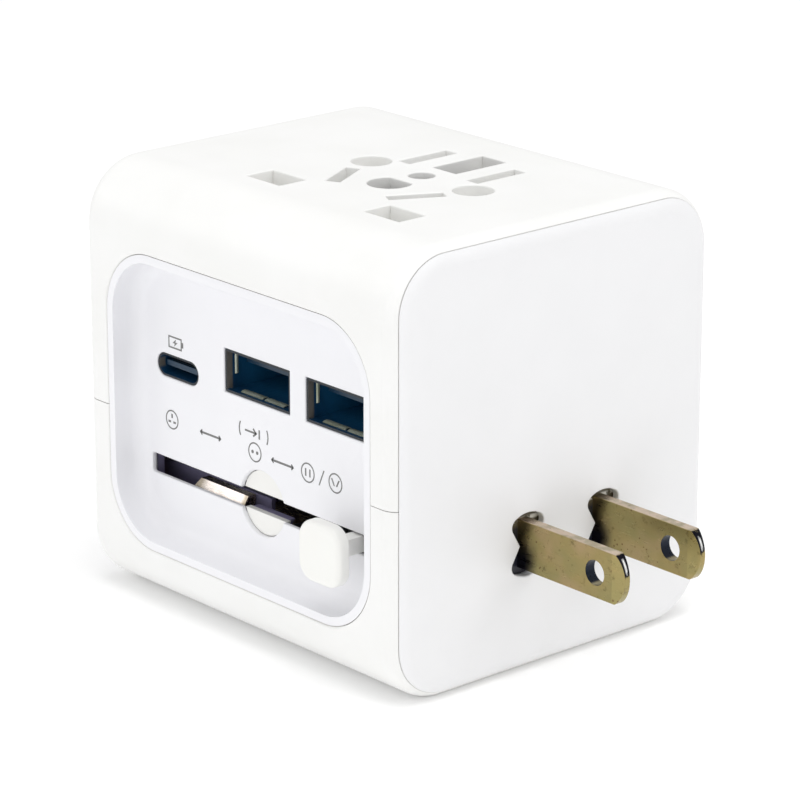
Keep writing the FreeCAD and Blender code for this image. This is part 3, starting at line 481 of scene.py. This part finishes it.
def blade_pits(tree):
    """1 in small round pits of uneven size."""
    cells = node(tree, "TexVoronoi", {"Vector": millimetres(tree), "Scale": 1.3, "Randomness": 1.0})
    size = remap(tree, noise(tree, 2.2, detail=1.0), 0.42, 0.66, 0.0, 0.2)
    return calculate(tree, "LESS_THAN", cells.outputs["Distance"], size)


def blade_brass():
    """Aged nickel-washed brass: olive and pink drift, stains, pits and a painted highlight on faces that
    look up.
    """
    tree, shader, material = new_material("blade_brass")
    drift = noise(tree, 4.0, detail=3.0, rough=0.6, stretch=(0.6, 1, 1))
    shade = patches(tree, drift, BRASS_OLIVE, BRASS_GREEN, edge=(0.38, 0.62))
    pink = remap(tree, noise(tree, 6.0), 0.50, 0.66, 0.0, 0.6)
    shade = mix(tree, pink, shade, BRASS_PINK)
    stains = remap(tree, noise(tree, 1.4, detail=5.0, rough=0.7), 0.58, 0.72, 0.0, 0.8)
    shade = mix(tree, stains, shade, BRASS_STAIN)
    # painted highlight: paler colour on faces that look up
    top_highlight = patches(tree, noise(tree, 2.0, detail=3.0), BRASS_TOP_HIGHLIGHT, BRASS_TOP_HIGHLIGHT_BRIGHT, edge=(0.42, 0.58))
    shade = mix(tree, remap(tree, facing(tree, "Z"), 0.6, 0.95), shade, top_highlight)
    pits = blade_pits(tree)
    shade = mix(tree, times(tree, pits, 0.75), shade, BRASS_PIT)
    marks = drawn_marks(tree, 0.3, ALONG_BLADE)
    waves = bump(tree, noise(tree, 2.5), 0.012, bump(tree, marks, 0.004))
    pitted = bump(tree, times(tree, pits, -1.0), 0.01, waves)
    # painted shade, painted light and painted reflections go over the brass colour
    dress(tree, shader, paint_blade_light(tree, shade), spread(tree, marks, 0.24, 0.40), pitted, metallic=1.0)
    return material


def port_metal():
    """Nickel-plated steel painted dark blue as painted shade, turning to a lighter blue as painted light
    deep inside, with bare nickel on the near end of the upright walls and painted shade on edges that face
    the front.
    """
    tree, shader, material = new_material("port_metal")
    mouth = corners("usb_a_shell_left")[0].y
    inward = calculate(tree, "SUBTRACT", along(tree, "Y"), mouth)
    # painted shade near the mouth turning to painted light deeper into the port
    shade = mix(tree, remap(tree, inward, *MOUTH_PAINTED_BLUE), PORT_PAINTED_SHADE_BLUE, PORT_PAINTED_LIGHT_BLUE)
    nickel = mix(tree, noise(tree, 1.5, detail=3.0), PORT_NICKEL, PORT_DULL_NICKEL)
    upright = remap(tree, facing(tree, "X"), 0.80, 0.95)
    shade = mix(tree, times(tree, upright, fade(tree, inward, *MOUTH_NICKEL)), shade, nickel)
    # painted shade on faces that look to the front
    front_edge_shade = fade(tree, facing(tree, "Y"), -0.7, -0.4)
    shade = mix(tree, front_edge_shade, shade, PORT_EDGE_PAINTED_SHADE)
    marks = drawn_marks(tree, 0.3, ALONG_Y)
    dress(tree, shader, shade, spread(tree, marks, 0.32, 0.48), bump(tree, marks, 0.003), metallic=0.15)
    return material


def boss_dark():
    """Oiled black carrier, with a painted olive reflection and a painted highlight on its upper half."""
    tree, shader, material = new_material("boss_dark")
    low, high = corners("blade_boss_near")
    rise = calculate(tree, "SUBTRACT", along(tree, "Z"), (low.z + high.z) / 2)
    shade = mix(tree, noise(tree, 3.0), BOSS_BLACK, BOSS_GREY)
    # painted reflection: olive on the carrier's upper half
    shade = mix(tree, remap(tree, rise, *BOSS_REFLECTION_RISE), shade, BOSS_PAINTED_REFLECTION)
    # painted highlight: a bright band on the carrier's upper half
    boss_highlight = times(tree, between(tree, rise, *BOSS_HIGHLIGHT_RISE, BOSS_HIGHLIGHT_SOFT), remap(tree, noise(tree, 1.2), 0.42, 0.5))
    shade = mix(tree, boss_highlight, shade, BOSS_PAINTED_HIGHLIGHT)
    oily = spread(tree, noise(tree, 2.0), 0.28, 0.42)
    dress(tree, shader, shade, oily, bump(tree, noise(tree, 0.2), 0.003))
    return material


def detent_metal():
    """Nickel on the spring strip, lightened to a bright warm colour as painted light, and brown towards its
    two ends.
    """
    tree, shader, material = new_material("detent_metal")
    low, high = corners("detent_spring")
    place = along(tree, "X")
    left = [low.x + reach for reach in STRIP_BROWN_LEFT]
    right = [high.x - reach for reach in STRIP_BROWN_RIGHT]
    brown = calculate(tree, "ADD", remap(tree, place, *left, 0.8, 0.0), remap(tree, place, *right, 0.0, 0.8))
    # painted light: bright warm colour on the strip
    shade = mix(tree, noise(tree, 2.0, detail=3.0), STRIP_PAINTED_LIGHT, STRIP_DULL_PAINTED_LIGHT)
    shade = mix(tree, brown, shade, STRIP_BROWN)
    marks = drawn_marks(tree, 0.25, ALONG_X)
    dress(tree, shader, shade, spread(tree, marks, 0.18, 0.32), bump(tree, marks, 0.001), metallic=0.9)
    return material


def circuit_board():
    """Green solder mask with tracks a little proud of it."""
    tree, shader, material = new_material("circuit_board")
    bricks = node(tree, "TexBrick", {"Vector": millimetres(tree), "Scale": 0.35, "Mortar Size": 0.03})
    tracks = bricks.outputs["Fac"]
    shade = mix(tree, tracks, BOARD_GREEN, TRACK_GREEN)
    dress(tree, shader, shade, spread(tree, noise(tree, 2.0), 0.28, 0.42), bump(tree, tracks, 0.035))
    return material


def winding_tape():
    """Yellow tape over a coil, with the turns showing through."""
    tree, shader, material = new_material("winding_tape")
    inputs = {"Vector": millimetres(tree), "Scale": 0.45, "Distortion": 0.6}
    turns = node(tree, "TexWave", inputs, bands_direction="Y").outputs["Fac"]
    shade = mix(tree, turns, TAPE_DARK, TAPE_LIGHT)
    dress(tree, shader, shade, spread(tree, noise(tree, 1.5), 0.3, 0.45), bump(tree, turns, 0.08))
    return material


def capacitor_sleeve():
    """Dark blue shrink sleeve with a pale stripe along one side."""
    tree, shader, material = new_material("capacitor_sleeve")
    stripe = calculate(tree, "GREATER_THAN", facing(tree, "X"), 0.85)
    sleeve = mix(tree, noise(tree, 3.0), SLEEVE_BLUE, SLEEVE_LIGHT_BLUE)
    shade = mix(tree, stripe, sleeve, SLEEVE_STRIPE)
    dress(tree, shader, shade, spread(tree, noise(tree, 1.5), 0.25, 0.4), bump(tree, noise(tree, 1.2), 0.02))
    return material


def fuse_glass():
    """Clear glass, slightly clouded in places."""
    tree, shader, material = new_material("fuse_glass")
    shade = mix(tree, noise(tree, 3.0), GLASS_CLEAR, GLASS_CLOUDY)
    dress(tree, shader, shade, spread(tree, noise(tree, 1.0), 0.02, 0.10))
    shader.inputs["Transmission Weight"].default_value = 1.0
    shader.inputs["IOR"].default_value = GLASS_IOR
    return material


def printed_ink():
    """Pad-printed grey, a little uneven."""
    tree, shader, material = new_material("printed_ink")
    shade = mix(tree, noise(tree, 0.35, detail=3.0), INK_DARK, INK_LIGHT)
    dress(tree, shader, shade, spread(tree, noise(tree, 0.2), 0.5, 0.7))
    return material


def floor_white():
    """Matt white that glows faintly, like a lit studio table."""
    tree, shader, material = new_material("floor_white")
    dress(tree, shader, mix(tree, noise(tree, 60.0), FLOOR_WHITE, FLOOR_GREY), 0.9)
    shader.inputs["Specular IOR Level"].default_value = 0.2
    shader.inputs["Emission Color"].default_value = (1, 1, 1, 1)
    shader.inputs["Emission Strength"].default_value = FLOOR_GLOW
    return material


def all_looks():
    """One material for each slot of the record."""
    looks = {
        "boss_dark": boss_dark(),
        "detent_metal": detent_metal(),
        "blade_brass": blade_brass(),
        "port_metal": port_metal(),
        "circuit_board": circuit_board(),
        "winding_tape": winding_tape(),
        "capacitor_sleeve": capacitor_sleeve(),
        "fuse_glass": fuse_glass(),
    }
    for name, row in PLASTICS.items():
        looks[name] = plastic(name, *row, crevice_painted_shade=SEAM_PAINTED_SHADE if name in PAINTED_SHADE_PLASTICS else None)
    for name, row in METALS.items():
        looks[name] = metal(name, *row, *TARNISH.get(name, ()))
    return looks


def paint_cad_nodes():
    looks = all_looks()
    for row in frame["record"]["subparts"]:
        mesh = NODES[row["node"]].data
        mesh.materials.clear()
        mesh.materials.append(looks[row["material_slot"]])


# ---------------------------------------------------------------- mesh helpers

def finish_piece(name, mesh_edit, material, body):
    """Turn a bmesh in millimetres into a piece that rides on a body."""
    bmesh.ops.recalc_face_normals(mesh_edit, faces=mesh_edit.faces)
    bmesh.ops.scale(mesh_edit, vec=(MM, MM, MM), verts=mesh_edit.verts)
    mesh = bpy.data.meshes.new(name)
    mesh_edit.to_mesh(mesh)
    mesh_edit.free()
    piece = bpy.data.objects.new(name, mesh)
    bpy.context.scene.collection.objects.link(piece)
    mesh.materials.append(material)
    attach(piece, body)


def walls(mesh_edit, first, second, closed=True):
    """Quads between two rows of vertices."""
    count = len(first)
    for n in range(count if closed else count - 1):
        m = (n + 1) % count
        mesh_edit.faces.new((first[n], first[m], second[m], second[n]))


def prism(mesh_edit, loop, near, far):
    """A filled outline in the panel's plane, between two places along Y."""
    front = [mesh_edit.verts.new((x, near, z)) for x, z in loop]
    back = [mesh_edit.verts.new((x, far, z)) for x, z in loop]
    mesh_edit.faces.new(front)
    mesh_edit.faces.new(back[::-1])
    walls(mesh_edit, front, back)


def ring_prism(mesh_edit, outer, inner, near, far):
    """A closed band between two outlines with as many points."""
    rows = [[mesh_edit.verts.new((x, y, z)) for x, z in loop]
            for loop, y in ((outer, near), (inner, near), (inner, far), (outer, far))]
    for n in range(4):
        walls(mesh_edit, rows[n], rows[(n + 1) % 4])


def offset_line(points, distance):
    """The points moved sideways, with mitred corners."""
    moved = []
    for n, point in enumerate(points):
        before = Vector(points[max(n - 1, 0)])
        after = Vector(points[min(n + 1, len(points) - 1)])
        here = Vector(point)
        runs = [run.normalized() for run in (here - before, after - here) if run.length > 0]
        sides = [Vector((-run.y, run.x)) for run in runs]
        middle = sum(sides, Vector((0, 0))).normalized()
        moved.append(tuple(here + middle * distance / max(MITRE_LIMIT, middle.dot(sides[0]))))
    return moved


def arc(centre, radius, start, end, steps):
    """Points along an arc, in degrees."""
    turns = [math.radians(start + (end - start) * n / steps) for n in range(steps + 1)]
    return [(centre[0] + radius * math.cos(t), centre[1] + radius * math.sin(t)) for t in turns]


def circle(centre, radius, sides):
    return arc(centre, radius, 0, 360, sides)[:-1]


def bar(centre, wide, tall, lean=0.0):
    """Corners of a small bar that leans by some degrees."""
    shift = math.tan(math.radians(lean)) * tall / 2
    x, z = centre
    return [(x - wide / 2 - shift, z - tall / 2), (x + wide / 2 - shift, z - tall / 2),
            (x + wide / 2 + shift, z + tall / 2), (x - wide / 2 + shift, z + tall / 2)]


# ---------------------------------------------------------------- printed marks

def ink_patch(mesh_edit, loop):
    prism(mesh_edit, loop, INK_FRONT, INK_BACK)


def ink_line(mesh_edit, points, width=LINE):
    ink_patch(mesh_edit, offset_line(points, width / 2) + offset_line(points, -width / 2)[::-1])


def ink_ring(mesh_edit, centre, radius, width):
    outer = circle(centre, radius + width / 2, RING_SIDES)
    inner = circle(centre, radius - width / 2, RING_SIDES)
    ring_prism(mesh_edit, outer, inner, INK_FRONT, INK_BACK)


def charge_mark():
    """Battery with a bolt in it, over the small port."""
    made = bmesh.new()
    x, z = BATTERY_AT
    outer = bar(BATTERY_AT, *BATTERY)
    inner = bar(BATTERY_AT, *[side - 2 * LINE for side in BATTERY])
    ring_prism(made, outer, inner, INK_FRONT, INK_BACK)
    ink_patch(made, bar((x + BATTERY_TIP_X, z), *BATTERY_TIP))
    ink_patch(made, [(x + across, z + up) for across, up in BOLT])
    return made


def outlet(mesh_edit, centre, bars):
    """Round outlet with its pin holes."""
    ink_ring(mesh_edit, centre, OUTLET_R, OUTLET_LINE)
    for across, up, wide, tall, lean in bars:
        ink_patch(mesh_edit, bar((centre[0] + across, centre[1] + up), wide, tall, lean))


def square_pin_mark():
    made = bmesh.new()
    outlet(made, SQUARE_OUTLET_AT, SQUARE_PINS)
    return made


def round_pin_mark():
    made = bmesh.new()
    ink_ring(made, ROUND_OUTLET_AT, OUTLET_R, OUTLET_LINE)
    for x in ROUND_PINS_X:
        ink_patch(made, circle((x, ROUND_OUTLET_AT[1]), ROUND_PIN_R, ROUND_PIN_SIDES))
    return made


def flat_pin_mark():
    """An outlet with upright slots, a stroke, and an outlet with leaning slots."""
    made = bmesh.new()
    outlet(made, FLAT_OUTLET_AT, FLAT_PINS)
    ink_patch(made, bar(STROKE_AT, *STROKE, STROKE_LEAN))
    outlet(made, SLANTED_OUTLET_AT, SLANTED_PINS)
    return made


def press_mark():
    """Brackets round an arrow that meets a bar."""
    made = bmesh.new()
    for x, way in BRACKETS:
        turns = (way - BRACKET_HALF, way + BRACKET_HALF)
        ink_line(made, arc((x, PRESS_Z), BRACKET_R, *turns, BRACKET_STEPS))
    tail, tip = PRESS_ARROW_X
    length, half = PRESS_HEAD
    ink_line(made, [(tail, PRESS_Z), (tip, PRESS_Z)], PRESS_LINE)
    head = [(tip - length, PRESS_Z + half), (tip, PRESS_Z), (tip - length, PRESS_Z - half)]
    ink_line(made, head, PRESS_LINE)
    ink_patch(made, bar((PRESS_BAR_X, PRESS_Z), *PRESS_BAR))
    return made


def arrow_mark(low, high, z):
    """Short line with a small head at each end."""
    made = bmesh.new()
    ink_line(made, [(low, z), (high, z)], ARROW_LINE)
    for x, turn in ((high, -1), (low, 1)):
        back = x + turn * HEAD
        ink_line(made, [(back, z + HEAD), (x, z), (back, z - HEAD)], HEAD_LINE)
    return made


def print_panel():
    ink = printed_ink()
    marks = {
        "mark_charge": charge_mark(),
        "mark_square_pins": square_pin_mark(),
        "mark_round_pins": round_pin_mark(),
        "mark_flat_pins": flat_pin_mark(),
        "mark_press": press_mark(),
    }
    for name, row in ARROWS.items():
        marks[name] = arrow_mark(*row)
    for name, made in marks.items():
        finish_piece(name, made, ink, "housing")


# ---------------------------------------------------------------- ports

def lying(x, y, z):
    """Place of a point on a strip whose width is along X."""
    return x, y, z


def standing(z, y, x):
    """Place of a point on a strip whose width is along Z."""
    return x, y, z


def bent(mouth, wall, rise, turn=1):
    """Middle line of a strip, from its points' places in from the mouth and off its wall."""
    return [(mouth + inward, wall + turn * height) for inward, height in rise]


def strip(mesh_edit, profile, low, high, thick, across=lying):
    """A bent strip: (y, height) points of its middle, with a width along X or Z."""
    rows = []
    for offset in (thick / 2, -thick / 2):
        line = offset_line(profile, offset)
        for edge in (low, high):
            rows.append([mesh_edit.verts.new(across(edge, y, height)) for y, height in line])
    ring = [rows[0], rows[1], rows[3], rows[2]]
    for n in range(4):
        walls(mesh_edit, ring[n], ring[(n + 1) % 4], closed=False)
    for end in (0, -1):
        mesh_edit.faces.new([row[end] for row in ring])


def port_springs(shell):
    """Sprung fingers on the floor and the sides of a USB-A shell."""
    made = bmesh.new()
    low, high = corners(shell)
    middle = (low.x + high.x) / 2
    profile = bent(low.y, low.z + USB_A_WALL, FLOOR_RISE)
    for start, end in FLOOR_FINGERS:
        strip(made, profile, middle + start, middle + end, FINGER_T)
    for side, turn in ((low.x + USB_A_WALL, 1), (high.x - USB_A_WALL, -1)):
        profile = bent(low.y, side, SIDE_RISE, turn)
        strip(made, profile, low.z + SIDE_FINGER_LOW, high.z - SIDE_FINGER_HIGH, FINGER_T, standing)
    return made


def port_contacts(tongue):
    """Four contacts under a USB-A tongue, each with a raised bow near the mouth."""
    made = bmesh.new()
    low, high = corners(tongue)
    middle = (low.x + high.x) / 2
    profile = bent(low.y, (low.z + high.z) / 2 + TONGUE_UNDER, CONTACT_BOW)
    for offset in CONTACTS_X:
        x = middle + offset
        strip(made, profile, x - CONTACT_HALF, x + CONTACT_HALF, CONTACT_T)
    return made


def small_port_contacts():
    """Rows of contacts on both faces of the small port's tongue."""
    made = bmesh.new()
    low, high = corners("usb_c_tongue")
    middle = (low.x + high.x) / 2
    height = (low.z + high.z) / 2
    for turn in (-1, 1):
        profile = bent(low.y, height + turn * SMALL_LEVEL, SMALL_RUN)
        for n in range(SMALL_CONTACTS):
            x = middle + (n - (SMALL_CONTACTS - 1) / 2) * SMALL_PITCH
            strip(made, profile, x - SMALL_HALF, x + SMALL_HALF, SMALL_T)
    return made


def dress_ports():
    bright = metal("contact_nickel", *CONTACT_NICKEL, metallic=0.5)
    gold = metal("contact_gold", *CONTACT_GOLD)
    for side in ("left", "right"):
        springs = port_springs("usb_a_shell_" + side)
        finish_piece("usb_a_springs_" + side, springs, bright, "housing")
        contacts = port_contacts("usb_a_tongue_" + side)
        finish_piece("usb_a_contacts_" + side, contacts, gold, "housing")
    finish_piece("usb_c_contacts", small_port_contacts(), gold, "housing")


# ---------------------------------------------------------------- stage

def make_camera():
    azimuth, elevation = math.radians(CAMERA_AZIMUTH), math.radians(CAMERA_ELEVATION)
    right = Vector((math.cos(azimuth), math.sin(azimuth), 0))
    back = Vector((math.sin(azimuth) * math.cos(elevation), -math.cos(azimuth) * math.cos(elevation),
                   math.sin(elevation)))
    data = bpy.data.cameras.new("camera")
    data.lens = CAMERA_LENS
    data.sensor_width = CAMERA_SENSOR
    data.clip_start = CLIP_START
    camera = bpy.data.objects.new("camera", data)
    bpy.context.scene.collection.objects.link(camera)
    turn = Matrix((right, back.cross(right), back)).transposed()
    camera.matrix_world = Matrix.Translation(Vector(CAMERA_AT) * MM) @ turn.to_4x4()
    bpy.context.scene.camera = camera


def area_light(name, place, size, watts):
    """A soft square light that points at the middle of the object."""
    data = bpy.data.lights.new(name, "AREA")
    data.shape = "SQUARE"
    data.size = size
    data.energy = watts
    light = bpy.data.objects.new(name, data)
    bpy.context.scene.collection.objects.link(light)
    light.location = place
    aim = Vector(AIM) - Vector(place)
    light.rotation_mode = "QUATERNION"
    light.rotation_quaternion = aim.to_track_quat("-Z", "Y")


def make_floor():
    made = bmesh.new()
    bmesh.ops.create_circle(made, cap_ends=True, segments=FLOOR_SIDES, radius=FLOOR_R)
    mesh = bpy.data.meshes.new("floor")
    made.to_mesh(mesh)
    made.free()
    floor = bpy.data.objects.new("floor", mesh)
    bpy.context.scene.collection.objects.link(floor)
    mesh.materials.append(floor_white())


def make_world():
    world = bpy.data.worlds.new("studio")
    world.use_nodes = True
    sky = world.node_tree.nodes["Background"]
    sky.inputs["Color"].default_value = (1, 1, 1, 1)
    sky.inputs["Strength"].default_value = SKY
    bpy.context.scene.world = world
    bpy.context.scene.view_settings.view_transform = "Standard"


paint_cad_nodes()
print_panel()
dress_ports()
make_camera()
make_world()
make_floor()
for name, row in LIGHTS.items():
    area_light(name, *row)
